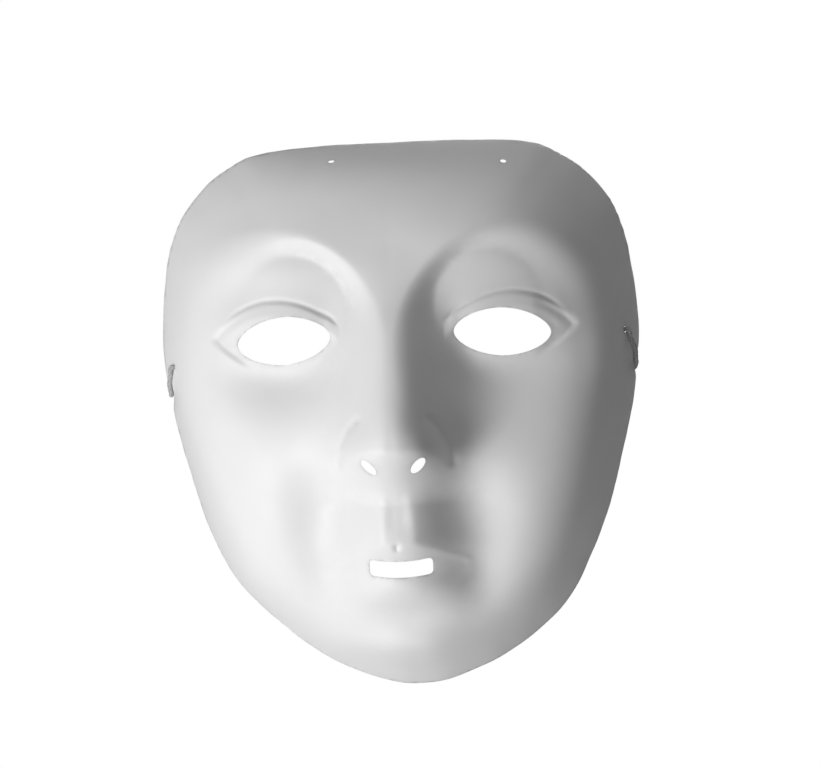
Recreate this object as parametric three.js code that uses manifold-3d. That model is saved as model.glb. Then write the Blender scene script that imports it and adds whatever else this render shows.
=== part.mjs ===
// A blank full-face costume mask: one vacuum-formed plastic shell with punched eye, nostril and mouth
// openings, held on by a round elastic cord that is looped through a hole on each side and knotted
// behind the rim.
// Millimetres. +Z is up, the face looks towards -Y, and the origin is the middle of the flat rim.

import * as THREE from "three";
import { mergeVertices } from "three/addons/utils/BufferGeometryUtils.js";
import Module from "manifold-3d";

const wasm = await Module();
wasm.setup();

// ---- Driving dimensions ----

const MASK_WIDTH = 170;
const MASK_HEIGHT = 193;
const FACE_DEPTH = 50; // from the rim to the plain face between the features
const WALL = 1; // sheet thickness

const EYE_SPACING = 75; // middle to middle
const EYE_HEIGHT = 26.6; // middle of the eye openings above the origin
const EYE_LENGTH = 33;
const EYE_OPENING = 16.3;
const EYE_TILT = -3; // degrees, outer corners down
const EYE_POWER = 1.8; // 2 is an ellipse, less is more pointed

const MOUTH_HEIGHT = -51.4; // middle of the slit
const MOUTH_LENGTH = 21.6;
const MOUTH_OPENING = 5.6;
const MOUTH_SAG = 1; // the slit's middle hangs below its ends
const MOUTH_CORNER = 1.4;

const NOSTRIL_SPACING = 16.4;
const NOSTRIL_HEIGHT = -17;
const NOSTRIL_LENGTH = 6.6;
const NOSTRIL_OPENING = 3;
const NOSTRIL_TILT = 45; // degrees, outer ends up

const NOSE_HEIGHT = 20; // tip above the plain face
const NOSE_TIP_Z = -8;

const CORD_DIAMETER = 1.6;
const CORD_HOLE = 3.2;
const TOP_HOLE = 2.2;
const KNOT_DIAMETER = 4.4;
const CLEARANCE = 0.35; // between the cord and what it lies against

// Hand-punched holes, so they don't mirror each other: distance in from the rim, and height.
const SIDE_HOLES = [
  { name: "left", side: -1, inset: 4.9, z: 19.7, crossing: 9.8 },
  { name: "right", side: 1, inset: 5.2, z: 26, crossing: 14.4 },
];
const TOP_HOLES = [
  { x: -20.5, inset: 7.1 },
  { x: 39.8, inset: 9 },
];

const KNOT_Z = 12;
const KNOT_Y = 1.5; // behind the rim plane
const KNOT_INSET = 4.3; // in from the rim's outer edge

const GRID = 5; // spacing of the shell's facets
const STRAP_STEPS = 80;
const LOOP_STEPS = 40;
const PLUG_LENGTH = 200; // length of the plugs that cut the openings, more than the mask is deep

// ---- Rim outline ----

// Right half of the rim from the forehead to the chin, as shares of half the width and height.
const HALF_RIM = [
  [0, 1],
  [0.506, 0.987],
  [0.706, 0.927],
  [0.847, 0.824],
  [0.935, 0.694],
  [0.982, 0.518],
  [1, 0.28],
  [0.976, 0.073],
  [0.918, -0.155],
  [0.829, -0.415],
  [0.712, -0.622],
  [0.559, -0.777],
  [0.353, -0.907],
  [0.141, -0.984],
  [0, -1],
];
const RIM_CENTRE_Z = 4; // point that the face's curves spread from
const RIM_SAMPLES = 360;

const rimPolar = rimByAngle();

function rimByAngle() {
  const mirrored = HALF_RIM.slice(1, -1)
    .reverse()
    .map(([x, z]) => [-x, z]);
  const points = [...HALF_RIM, ...mirrored].map(
    ([x, z]) => new THREE.Vector3((x * MASK_WIDTH) / 2, 0, (z * MASK_HEIGHT) / 2),
  );
  const rim = new THREE.CatmullRomCurve3(points, true, "centripetal");
  return rim
    .getPoints(RIM_SAMPLES)
    .slice(0, -1)
    .map((p) => ({
      angle: Math.atan2(p.x, p.z - RIM_CENTRE_Z),
      radius: Math.hypot(p.x, p.z - RIM_CENTRE_Z),
    }))
    .sort((a, b) => a.angle - b.angle);
}

function rimRadius(angle) {
  const last = rimPolar.length - 1;
  if (angle <= rimPolar[0].angle || angle >= rimPolar[last].angle) return rimPolar[0].radius;
  let low = 0;
  let high = last;
  while (high - low > 1) {
    const middle = (low + high) >> 1;
    if (rimPolar[middle].angle <= angle) low = middle;
    else high = middle;
  }
  const a = rimPolar[low];
  const b = rimPolar[high];
  return a.radius + ((b.radius - a.radius) * (angle - a.angle)) / (b.angle - a.angle);
}

// Below the mouth the trimmed outline leans towards +X.
const CHIN_LEAN = 2.4;
const LEAN_START = -0.54 * (MASK_HEIGHT / 2);
const LEAN_END = -0.78 * (MASK_HEIGHT / 2);

// How far out a point lies: 0 in the middle of the face, 1 on the rim. Near the middle the contours
// are ellipses, and towards the rim they take on its shape.
function share(x, z) {
  const lean = CHIN_LEAN * smooth(LEAN_START, LEAN_END, z);
  const angle = Math.atan2(x - lean, z - RIM_CENTRE_Z);
  const reach = Math.hypot(x - lean, z - RIM_CENTRE_Z);
  const rim = rimRadius(angle);
  const oval =
    1 / Math.hypot(Math.sin(angle) / (MASK_WIDTH / 2), Math.cos(angle) / (MASK_HEIGHT / 2));
  const rimShape = Math.min(reach / rim, 1) ** 3;
  return reach / (oval * (1 - rimShape) + rim * rimShape);
}

// ---- Relief of the face ----

const DOME_ROUND = 0.3; // part of the depth that falls away evenly; the rest drops near the rim
const DOME_POWER = 6;
const FADE_START = 0.75; // share where the features begin to fade out towards the rim

// Soft swellings, and hollows where the height is negative. x and z place one side's, and the other
// side mirrors it; wide and tall are its half sizes, and turn is in degrees.
const CHIN_Z = -MASK_HEIGHT / 2;
const EYE_X = EYE_SPACING / 2;
const SWELLINGS = [
  { name: "brow ridge", x: EYE_X + 8, z: EYE_HEIGHT + 30, wide: 30, tall: 13, turn: 0, height: 3.5 },
  { name: "between the brows", x: 0, z: EYE_HEIGHT + 16, wide: 13, tall: 10, turn: 0, height: -2 },
  { name: "eyeball", x: EYE_X + 2, z: EYE_HEIGHT, wide: 20, tall: 10, turn: 8, height: 3.5 },
  { name: "inner eye corner", x: EYE_X - 15, z: EYE_HEIGHT, wide: 6, tall: 11, turn: 15, height: -1.5 },
  { name: "under the eye", x: EYE_X, z: EYE_HEIGHT - 11, wide: 25, tall: 12, turn: 8, height: -3.5 },
  { name: "nose tip", x: 0, z: NOSE_TIP_Z, wide: 9, tall: 12, turn: 0, height: 3 },
  { name: "nose wing", x: NOSTRIL_SPACING / 2 + 3, z: NOSE_TIP_Z - 4, wide: 7, tall: 8, turn: 15, height: 4 },
  { name: "cheek", x: 46, z: -18, wide: 19, tall: 30, turn: -8, height: -2 },
  { name: "smile fold", x: 24, z: MOUTH_HEIGHT + 18, wide: 14, tall: 24, turn: 10, height: -6.5 },
  { name: "mouth mound", x: 0, z: MOUTH_HEIGHT + 14, wide: 17, tall: 18, turn: 0, height: 10 },
  { name: "upper lip", x: 3, z: MOUTH_HEIGHT + 7, wide: 16, tall: 4.5, turn: 0, height: 1.5 },
  { name: "lower lip", x: 0, z: MOUTH_HEIGHT - 8, wide: 17, tall: 6, turn: 0, height: 4.5 },
  { name: "lip groove", x: 0, z: MOUTH_HEIGHT + 17, wide: 4, tall: 8, turn: 0, height: -1.5 },
  { name: "chin crease", x: 0, z: MOUTH_HEIGHT - 22, wide: 20, tall: 6, turn: 0, height: -3 },
  { name: "mouth corner", x: 25, z: MOUTH_HEIGHT - 7, wide: 9, tall: 13, turn: -10, height: -2.5 },
  { name: "chin", x: 0, z: CHIN_Z + 12, wide: 30, tall: 13, turn: 0, height: 13 },
];

const SOCKET = {
  x: EYE_X,
  z: EYE_HEIGHT + 4,
  wide: 29,
  tall: 29,
  depth: 5.5,
  edge: 0.12,
  spread: 0.7,
};
const NOSE = { top: 45, bottom: -21, soft: 10, bridgeWidth: 13, width: 19, bridge: 5 };

function smooth(low, high, value) {
  const t = THREE.MathUtils.clamp((value - low) / (high - low), 0, 1);
  return t * t * (3 - 2 * t);
}

function swelling(across, z, { x, z: middle, wide, tall, turn, height }) {
  const c = Math.cos(THREE.MathUtils.degToRad(turn));
  const s = Math.sin(THREE.MathUtils.degToRad(turn));
  const u = ((across - x) * c + (z - middle) * s) / wide;
  const v = ((z - middle) * c - (across - x) * s) / tall;
  return height * Math.exp(-(u * u + v * v));
}

// The eye socket is an oval dish with a firm edge above and beside the nose, and a soft one below.
function socket(across, z) {
  const u = (across - SOCKET.x) / SOCKET.wide;
  const v = (z - SOCKET.z) / SOCKET.tall;
  const reach = Math.hypot(u, v);
  const firmSide = THREE.MathUtils.clamp((0.8 * v - 0.6 * u) / Math.max(reach, 1e-3), -1, 1);
  const edge = SOCKET.edge + (SOCKET.spread * (1 - firmSide)) / 2;
  return -SOCKET.depth * (1 - smooth(1 - edge, 1 + edge, reach));
}

// The nose widens and rises from the bridge to the tip, and ends in a soft undercut slope.
function nose(across, z) {
  const down = smooth(NOSE.top, NOSE_TIP_Z, z);
  const width = NOSE.bridgeWidth + (NOSE.width - NOSE.bridgeWidth) * down;
  const height =
    NOSE.bridge * smooth(NOSE.top + 14, NOSE.top - 6, z) + (NOSE_HEIGHT - NOSE.bridge) * down;
  const under = smooth(NOSE.bottom - NOSE.soft, NOSE.bottom + NOSE.soft, z);
  return height * under * Math.exp(-((across / width) ** 2));
}

// Height of the outer face in front of the rim plane. Outside the rim it keeps falling steadily.
function relief(x, z) {
  const across = Math.sqrt(x * x + 0.25) - 0.5; // |x|, rounded at the middle line
  const s = share(x, z);
  if (s > 1) return FACE_DEPTH * ((1 - DOME_ROUND) * DOME_POWER + 2 * DOME_ROUND) * (1 - s);
  const dome =
    FACE_DEPTH * ((1 - DOME_ROUND) * (1 - s ** DOME_POWER) + DOME_ROUND * (1 - s * s));
  const features = SWELLINGS.reduce((sum, shape) => sum + swelling(across, z, shape), 0);
  const fade = 1 - smooth(FADE_START, 1, s);
  return dome + (features + socket(across, z) + nose(across, z)) * fade;
}

// Direction straight out of the face.
function outward(x, z) {
  const step = 0.5;
  const slopeX = (relief(x + step, z) - relief(x - step, z)) / (2 * step);
  const slopeZ = (relief(x, z + step) - relief(x, z - step)) / (2 * step);
  return new THREE.Vector3(-slopeX, -1, -slopeZ).normalize();
}

// Point on the outer face, or that far off it: positive is outside.
function facePoint(x, z, off = 0) {
  return new THREE.Vector3(x, -relief(x, z), z).addScaledVector(outward(x, z), off);
}

// How far to the side the outer face lies at this height and depth, on the side of the given sign.
function flankX(side, z, depth) {
  let near = 0.6 * (MASK_WIDTH / 2);
  let far = 1.1 * (MASK_WIDTH / 2);
  for (let i = 0; i < 40; i += 1) {
    const middle = (near + far) / 2;
    if (relief(side * middle, z) > depth) near = middle;
    else far = middle;
  }
  return (side * (near + far)) / 2;
}

// Height of the top rim at this x.
function rimTopZ(x) {
  let near = 0;
  let far = MASK_HEIGHT;
  for (let i = 0; i < 40; i += 1) {
    const middle = (near + far) / 2;
    if (relief(x, middle) > 0) near = middle;
    else far = middle;
  }
  return (near + far) / 2;
}

// ---- Solids ----

function toManifold(geometry) {
  const plain = geometry.clone();
  plain.deleteAttribute("normal");
  plain.deleteAttribute("uv");
  const merged = mergeVertices(plain, 1e-4);
  return new wasm.Manifold(
    new wasm.Mesh({
      numProp: 3,
      vertProperties: merged.attributes.position.array,
      triVerts: new Uint32Array(merged.index.array),
    }),
  );
}

function toGeometry(solid) {
  const mesh = solid.getMesh();
  const geometry = new THREE.BufferGeometry();
  geometry.setAttribute("position", new THREE.BufferAttribute(mesh.vertProperties, mesh.numProp));
  geometry.setIndex(new THREE.BufferAttribute(mesh.triVerts, 1));
  geometry.computeVertexNormals();
  return geometry;
}

// A plug of this outline in X and Z that runs from the rim plane forwards.
function plug(points) {
  const geometry = new THREE.ExtrudeGeometry(new THREE.Shape(points), {
    depth: PLUG_LENGTH,
    bevelEnabled: false,
  });
  return toManifold(geometry.rotateX(Math.PI / 2));
}

// Rounded outline of this length and opening, turned by tilt degrees about its middle.
function roundOutline(x, z, length, opening, tilt, power, steps) {
  const points = [];
  for (let i = 0; i < steps; i += 1) {
    const angle = (2 * Math.PI * i) / steps;
    const c = Math.cos(angle);
    const s = Math.sin(angle);
    const u = (Math.sign(c) * Math.abs(c) ** (2 / power) * length) / 2;
    const v = (Math.sign(s) * Math.abs(s) ** (2 / power) * opening) / 2;
    points.push(new THREE.Vector2(u, v));
  }
  const turn = THREE.MathUtils.degToRad(tilt);
  const origin = new THREE.Vector2();
  return points.map((p) => p.rotateAround(origin, turn).add(new THREE.Vector2(x, z)));
}

// The mouth slit is a band with rounded corners that sags in the middle.
function mouthOutline() {
  const half = MOUTH_LENGTH / 2;
  const shape = new THREE.Shape();
  const low = -MOUTH_OPENING / 2;
  const high = MOUTH_OPENING / 2;
  const r = MOUTH_CORNER;
  shape.moveTo(-half + r, low);
  shape.lineTo(half - r, low);
  shape.absarc(half - r, low + r, r, -Math.PI / 2, 0, false);
  shape.absarc(half - r, high - r, r, 0, Math.PI / 2, false);
  shape.lineTo(-half + r, high);
  shape.absarc(-half + r, high - r, r, Math.PI / 2, Math.PI, false);
  shape.absarc(-half + r, low + r, r, Math.PI, 1.5 * Math.PI, false);
  return shape
    .getSpacedPoints(48)
    .slice(0, -1)
    .map((p) => new THREE.Vector2(p.x, MOUTH_HEIGHT + p.y - MOUTH_SAG * (1 - (p.x / half) ** 2)));
}

// A round punch straight through the wall at this point of the face.
function punch(x, z, diameter) {
  const length = 6 * WALL;
  const geometry = new THREE.CylinderGeometry(diameter / 2, diameter / 2, length, 14);
  const turn = new THREE.Quaternion().setFromUnitVectors(
    new THREE.Vector3(0, 1, 0),
    outward(x, z),
  );
  const place = facePoint(x, z, -WALL / 2);
  geometry.applyMatrix4(new THREE.Matrix4().compose(place, turn, new THREE.Vector3(1, 1, 1)));
  return toManifold(geometry);
}

function sideHoleX({ side, inset, z }) {
  return flankX(side, z, 0) - side * inset;
}

// ---- Mask shell ----

// A flat board of facets bent to the relief, with its back one wall thickness behind its front.
function formedSheet() {
  const margin = GRID;
  const width = MASK_WIDTH + 2 * margin;
  const height = MASK_HEIGHT + 2 * margin;
  const columns = Math.round(width / GRID);
  const rows = Math.round(height / GRID);
  const sheet = new THREE.BoxGeometry(width, 1, height, columns, 1, rows);
  const position = sheet.getAttribute("position");
  for (let i = 0; i < position.count; i += 1) {
    const isBack = position.getY(i) > 0;
    const p = facePoint(position.getX(i), position.getZ(i), isBack ? -WALL : 0);
    position.setXYZ(i, p.x, p.y, p.z);
  }
  return toManifold(sheet);
}

function behindTheRim() {
  const size = 3 * MASK_HEIGHT;
  return toManifold(new THREE.BoxGeometry(size, size, size).translate(0, size / 2, 0));
}

function maskShell() {
  const cuts = [behindTheRim(), plug(mouthOutline())];
  for (const side of [-1, 1]) {
    const eyeX = (side * EYE_SPACING) / 2;
    const eyeTilt = side * EYE_TILT;
    cuts.push(
      plug(roundOutline(eyeX, EYE_HEIGHT, EYE_LENGTH, EYE_OPENING, eyeTilt, EYE_POWER, 32)),
    );
    const nostrilX = (side * NOSTRIL_SPACING) / 2;
    const nostrilTilt = side * NOSTRIL_TILT;
    cuts.push(
      plug(
        roundOutline(
          nostrilX,
          NOSTRIL_HEIGHT,
          NOSTRIL_LENGTH,
          NOSTRIL_OPENING,
          nostrilTilt,
          2,
          16,
        ),
      ),
    );
  }
  for (const hole of SIDE_HOLES) cuts.push(punch(sideHoleX(hole), hole.z, CORD_HOLE));
  for (const hole of TOP_HOLES) cuts.push(punch(hole.x, rimTopZ(hole.x) - hole.inset, TOP_HOLE));
  return cuts.reduce((solid, cut) => solid.subtract(cut), formedSheet());
}

// ---- Elastic cord ----

function cordSection() {
  const sides = 8;
  const r = CORD_DIAMETER / 2;
  const points = [];
  for (let i = 0; i < sides; i += 1) {
    const angle = (2 * Math.PI * i) / sides;
    points.push(new THREE.Vector2(r * Math.cos(angle), r * Math.sin(angle)));
  }
  return new THREE.Shape(points);
}

function cordAlong(points, steps) {
  const path = new THREE.CatmullRomCurve3(points, false, "centripetal");
  return new THREE.ExtrudeGeometry(cordSection(), {
    steps,
    bevelEnabled: false,
    extrudePath: path,
  });
}

function knotPlace({ side }) {
  const x = flankX(side, KNOT_Z, 0) - side * KNOT_INSET;
  return new THREE.Vector3(x, KNOT_Y, KNOT_Z);
}

function knot(hole) {
  const ball = new THREE.SphereGeometry(KNOT_DIAMETER / 2, 14, 10);
  const place = knotPlace(hole);
  return ball.translate(place.x, place.y, place.z);
}

// From the knot round the rim, up the outside of the flank, in through the hole, and back down
// inside to the knot.
function tieLoop(hole) {
  const { side, z: holeZ, crossing } = hole;
  const off = CORD_DIAMETER / 2 + CLEARANCE;
  const holeX = sideHoleX(hole);
  const place = knotPlace(hole);
  const reach = KNOT_DIAMETER / 2 + CLEARANCE;
  const heightAt = (t) => crossing + (holeZ - crossing) * t;
  const outside = (t, depth, extra = 0) => {
    const z = heightAt(t);
    return facePoint(flankX(side, z, depth), z, off + extra);
  };
  const inside = (t, depth) => {
    const z = heightAt(t);
    return facePoint(flankX(side, z, depth), z, -WALL - off - CLEARANCE);
  };
  const outwardEnd = new THREE.Vector3(side * 0.95, 0.2, 0.1 * Math.sign(crossing - KNOT_Z)).normalize();
  const inwardEnd = new THREE.Vector3(-side * 0.1, -0.8, 0.6).normalize();
  const holeDepth = relief(holeX, holeZ);
  return cordAlong(
    [
      place.clone().addScaledVector(outwardEnd, reach),
      place.clone().addScaledVector(outwardEnd, reach + CORD_DIAMETER / 2),
      new THREE.Vector3(flankX(side, crossing, 0), off + CORD_DIAMETER / 2, crossing),
      outside(0.08, 0.8, 1.5 * CLEARANCE),
      outside(0.4, holeDepth * 0.42),
      outside(0.74, holeDepth * 0.8),
      facePoint(holeX, holeZ, off + CORD_DIAMETER / 2),
      facePoint(holeX, holeZ, -WALL / 2),
      facePoint(holeX, holeZ, -WALL - off - CORD_DIAMETER / 2),
      inside(0.62, holeDepth * 0.62).addScaledVector(new THREE.Vector3(-side, 0, 0), CLEARANCE),
      place.clone().addScaledVector(inwardEnd, reach + CORD_DIAMETER / 2),
      place.clone().addScaledVector(inwardEnd, reach),
    ],
    LOOP_STEPS,
  );
}

// Right half of the free elastic, hanging under its own weight: x from the middle line, z from its
// upper ends. The left half mirrors it.
const STRAP_ROUTE = [
  [78.6, 0],
  [77.1, -4.5],
  [75.4, -9.6],
  [72.9, -16.7],
  [69.6, -25.4],
  [65.4, -35.4],
  [60.3, -46],
  [54.8, -56.1],
  [48.7, -65.6],
  [42.2, -74.1],
  [35.2, -81.5],
  [28.1, -87.2],
  [21.1, -91.6],
  [14, -94.7],
  [7, -96.5],
  [0, -97.1],
];
const STRAP_LEAVES = new THREE.Vector3(-0.3, 0, -0.95).normalize(); // from the right knot

function elasticStrap() {
  const reach = KNOT_DIAMETER / 2 + CLEARANCE;
  const end = knotPlace(SIDE_HOLES[1]).addScaledVector(STRAP_LEAVES, reach);
  const widen = end.x / STRAP_ROUTE[0][0];
  const right = STRAP_ROUTE.map(([x, z]) => new THREE.Vector3(x * widen, end.y, end.z + z));
  const left = right
    .slice(0, -1)
    .reverse()
    .map((p) => new THREE.Vector3(-p.x, p.y, p.z));
  return cordAlong([...right, ...left], STRAP_STEPS);
}

// ---- Assembly ----

const plastic = { color: 0xdcdcdc, roughness: 0.55, metalness: 0 };
const elastic = { color: 0x8c8c8c, roughness: 0.85, metalness: 0 };

function piece(name, geometry, finish) {
  const mesh = new THREE.Mesh(geometry, new THREE.MeshStandardMaterial(finish));
  mesh.name = name;
  return mesh;
}

const mask = new THREE.Group();
mask.add(piece("mask_shell", toGeometry(maskShell()), plastic));
mask.add(piece("elastic_strap", elasticStrap(), elastic));
for (const hole of SIDE_HOLES) {
  mask.add(piece("tie_loop_" + hole.name, tieLoop(hole), elastic));
  mask.add(piece("knot_" + hole.name, knot(hole), elastic));
}

export default mask;
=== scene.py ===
"""Blank full-face costume mask, modelled as a user would with this add-on's buttons: the formed
plastic shell, the elastic cord with its knots, their materials, and a plain studio stage."""

import math

import bmesh
import bpy
import numpy as np
from bpy.props import FloatProperty, FloatVectorProperty, IntProperty, PointerProperty
from bpy.types import Operator, Panel, PropertyGroup
from mathutils import Matrix, Vector


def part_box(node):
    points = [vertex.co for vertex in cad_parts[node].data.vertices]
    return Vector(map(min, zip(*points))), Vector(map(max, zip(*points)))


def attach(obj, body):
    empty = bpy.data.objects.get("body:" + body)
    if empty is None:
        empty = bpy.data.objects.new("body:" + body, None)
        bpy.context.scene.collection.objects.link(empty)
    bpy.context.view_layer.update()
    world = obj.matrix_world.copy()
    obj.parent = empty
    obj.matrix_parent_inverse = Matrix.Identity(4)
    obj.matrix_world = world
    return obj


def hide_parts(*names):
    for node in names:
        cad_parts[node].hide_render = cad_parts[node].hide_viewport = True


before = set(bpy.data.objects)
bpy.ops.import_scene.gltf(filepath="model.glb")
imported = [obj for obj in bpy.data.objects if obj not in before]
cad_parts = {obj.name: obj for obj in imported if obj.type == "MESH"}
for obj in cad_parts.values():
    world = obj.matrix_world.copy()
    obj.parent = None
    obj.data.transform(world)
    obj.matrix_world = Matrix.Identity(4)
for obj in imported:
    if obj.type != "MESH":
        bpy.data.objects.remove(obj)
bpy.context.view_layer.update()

bl_info = {
    "name": "Blank Costume Mask",
    "version": (1, 0, 0),
    "blender": (4, 5, 0),
    "location": "3D View > Sidebar > Mask",
    "description": "Models a formed plastic face mask with its elastic cord",
    "category": "Add Mesh",
}

MM = 0.001
SHELL_LOW, SHELL_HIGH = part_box("mask_shell")


# ---- Settings ----

class MaskShape(PropertyGroup):
    """Sizes of the formed shell."""

    width: FloatProperty(
        name="Width", description="Across the rim at the eyes",
        default=SHELL_HIGH.x - SHELL_LOW.x, unit="LENGTH")
    height: FloatProperty(
        name="Height", description="From the chin to the top of the forehead",
        default=SHELL_HIGH.z - SHELL_LOW.z, unit="LENGTH")
    wall: FloatProperty(
        name="Wall", description="Thickness of the plastic sheet",
        default=0.001, min=0.0003, unit="LENGTH")
    edge_round: FloatProperty(
        name="Edge round", description="Rounding of the cut edges",
        default=0.00018, unit="LENGTH")
    columns: IntProperty(
        name="Columns", description="Mesh columns from ear to ear", default=176, min=40)
    rows: IntProperty(
        name="Rows", description="Mesh rows from chin to forehead", default=206, min=40)


class MaskFinish(PropertyGroup):
    """Colours, wear and painted shade of the shell."""

    colour: FloatVectorProperty(
        name="Colour", description="Bare plastic", subtype="COLOR", size=3,
        default=(0.8, 0.8, 0.8), min=0.0, max=1.0)
    # Painted shade: this dark colour is laid along the cut edges and in the hollows, partly as grime.
    shade_and_soil: FloatVectorProperty(
        name="Shade And Soil", description="Grime in hollows and along cut edges", subtype="COLOR",
        size=3, default=(0.25, 0.245, 0.24), min=0.0, max=1.0)
    roughness: FloatProperty(
        name="Roughness", description="Roughness of the clean plastic",
        default=0.52, min=0.0, max=1.0, subtype="FACTOR")


class CordSettings(PropertyGroup):
    """The elastic cord."""

    diameter: FloatProperty(
        name="Diameter", description="Of the braided elastic", default=0.0016, unit="LENGTH")
    colour: FloatVectorProperty(
        name="Colour", description="Braided cover", subtype="COLOR", size=3,
        default=(0.45, 0.45, 0.45), min=0.0, max=1.0)
    strands: IntProperty(
        name="Strands", description="Braid strands that wind each way", default=4, min=2)
    sides: IntProperty(name="Sides", description="Facets round the cord", default=24, min=8)


class StageSettings(PropertyGroup):
    """Camera, floor and lights."""

    distance: FloatProperty(
        name="Distance", description="Camera to the rim plane", default=0.9, unit="LENGTH")
    azimuth: FloatProperty(
        name="Azimuth", description="Camera turned towards +X", subtype="ANGLE",
        default=math.radians(3.4))
    roll: FloatProperty(
        name="Roll", description="Camera rolled, so the mask hangs askew",
        subtype="ANGLE", default=math.radians(2.5))
    shift_right: FloatProperty(
        name="Shift right", description="Camera right of the mask's middle",
        default=0.0026, unit="LENGTH")
    shift_up: FloatProperty(
        name="Shift up", description="Camera above the mask's middle",
        default=0.0102, unit="LENGTH")
    lens: FloatProperty(
        name="Lens", description="Focal length", default=110.6, unit="CAMERA")
    floor_drop: FloatProperty(
        name="Floor drop", description="Floor below the mask's chin",
        default=0.45, unit="LENGTH")
    ambient: FloatProperty(
        name="Ambient", description="Even light from all round", default=0.1, min=0.0)


def shell_size(context):
    """The face's width and height in millimetres."""
    return context.scene.mask_shape.width / MM, context.scene.mask_shape.height / MM


def worn_face(context):
    """The face with its rim pressed in where the cord crosses it."""
    return Face(*shell_size(context), [(hole["side"], hole["crossing"]) for hole in SIDE_HOLES])


# ---- Face relief, in millimetres ----

# Right half of the rim from the forehead to the chin, as shares of half the width and height.
HALF_RIM = [
    (0, 1), (0.506, 0.987), (0.706, 0.927), (0.847, 0.824), (0.935, 0.694),
    (0.982, 0.518), (1, 0.28), (0.976, 0.073), (0.918, -0.155), (0.829, -0.415),
    (0.712, -0.622), (0.559, -0.777), (0.353, -0.907), (0.141, -0.984), (0, -1),
]
RIM_CENTRE_Z = 4.0
CHIN_LEAN = 2.4  # below the mouth the trimmed outline leans towards +X
LEAN_START, LEAN_END = -0.54, -0.78  # shares of half the height
FACE_DEPTH = 50.0  # from the rim to the plain face between the features
DOME_ROUND = 0.3  # part of the depth that falls as a round bowl; the rest drops near the rim
DOME_POWER = 6.0
FADE_START = 0.75  # share where the features begin to fade out towards the rim
NOSE_TIP_Z = -8.0
NOSE_HEIGHT = 20.0
CHIN_Z = -96.5

EYE = {"x": 37.5, "z": 26.6, "long": 33.0, "open": 16.3, "tilt": -3.0, "power": 1.8}
NOSTRIL = {"x": 8.2, "z": -17.0, "long": 6.6, "open": 3.0, "tilt": 45.0, "power": 2.0}
MOUTH = {"z": -51.4, "long": 21.6, "open": 5.6, "sag": 1.0, "corner": 1.4}

# Soft swellings and hollows: middle across and up, half sizes, turn in degrees, height.
SWELLINGS = {
    "brow ridge": (EYE["x"] + 8, EYE["z"] + 30, 30, 13, 0, 3.5),
    "between the brows": (0, EYE["z"] + 16, 13, 10, 0, -2),
    "eyeball": (EYE["x"] + 2, EYE["z"], 20, 10, 8, 3.5),
    "inner eye corner": (EYE["x"] - 15, EYE["z"], 6, 11, 15, -1.5),
    "under the eye": (EYE["x"], EYE["z"] - 11, 25, 12, 8, -3.5),
    "nose tip": (0, NOSE_TIP_Z, 9, 12, 0, 3),
    "nose wing": (NOSTRIL["x"] + 3, NOSE_TIP_Z - 4, 7, 8, 15, 4),
    "cheek": (46, -18, 19, 30, -8, -2),
    "smile fold": (24, MOUTH["z"] + 18, 14, 24, 10, -6.5),
    "mouth mound": (0, MOUTH["z"] + 14, 17, 18, 0, 10),
    "upper lip": (3, MOUTH["z"] + 7, 16, 4.5, 0, 1.5),
    "lower lip": (0, MOUTH["z"] - 8, 17, 6, 0, 4.5),
    "lip groove": (0, MOUTH["z"] + 17, 4, 8, 0, -1.5),
    "chin crease": (0, MOUTH["z"] - 22, 20, 6, 0, -3),
    "mouth corner": (25, MOUTH["z"] - 7, 9, 13, -10, -2.5),
    "chin": (0, CHIN_Z + 12, 30, 13, 0, 13),
}
SOCKET = {"x": EYE["x"], "z": EYE["z"] + 4, "wide": 29, "tall": 29, "depth": 5.5, "edge": 0.12,
          "spread": 0.7}
NOSE = {"top": 45, "bottom": -21, "soft": 10, "bridge_width": 13, "width": 19, "bridge": 5,
        "root_above": 14, "root_below": 6}

# The fold round each eye, from the inner corner to the outer: across, its upper and lower line.
EYE_FOLD = [
    (17.5, 31.0, 26.5), (20.5, 33.6, 24.4), (24, 35.5, 21.8), (29, 37.9, 17.6), (37, 40.0, 15.2),
    (45, 39.8, 15.8), (53, 37.0, 19.8), (60, 32.0, 25.2), (63.3, 28.8, 28.8),
]

# Fine lines pressed into the face or standing out of it: depth, half width, points up one side.
LINES = {
    "nose wing crease": (-1.1, 1.5, [(11.5, -1.5), (15, -5.5), (17.8, -11), (18.6, -16.5)]),
    "lip groove edge": (0.2, 1.8, [(3.6, -28), (4.6, -36), (5.2, -42)]),
    "upper lip edge": (0.3, 1.3, [(0.5, -44.6), (4.5, -43.6), (10, -45.2), (17, -48.2), (22, -50.2)]),
    "lower lip edge": (0.2, 1.8, [(0, -64.5), (9, -63.4), (17, -59.6), (23, -53.6)]),
}
# A nick in the upper lip, with the values of a swelling but not mirrored.
DIMPLE = (-0.7, -44.7, 0.9, 0.9, 20, -1.4)

LID_HEIGHT = 0.9
CREASE_DEPTH = 0.45
CREASE_WIDTH = 1.1
CORNER_DEPTH = 1.0

# How far the cord has pressed the rim back, and half the length of rim that gave way.
PRESS_DEPTH = 4.2
PRESS_REACH = 3.4
PRESS_START = 0.93  # share from which the face gives way, out to the rim


def smooth(low, high, value):
    t = np.clip((value - low) / (high - low), 0.0, 1.0)
    return t * t * (3.0 - 2.0 * t)


def swelling(across, z, shape):
    x0, z0, wide, tall, turn, height = shape
    c, s = math.cos(math.radians(turn)), math.sin(math.radians(turn))
    u = ((across - x0) * c + (z - z0) * s) / wide
    v = ((z - z0) * c - (across - x0) * s) / tall
    return height * np.exp(-(u * u + v * v))


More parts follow.
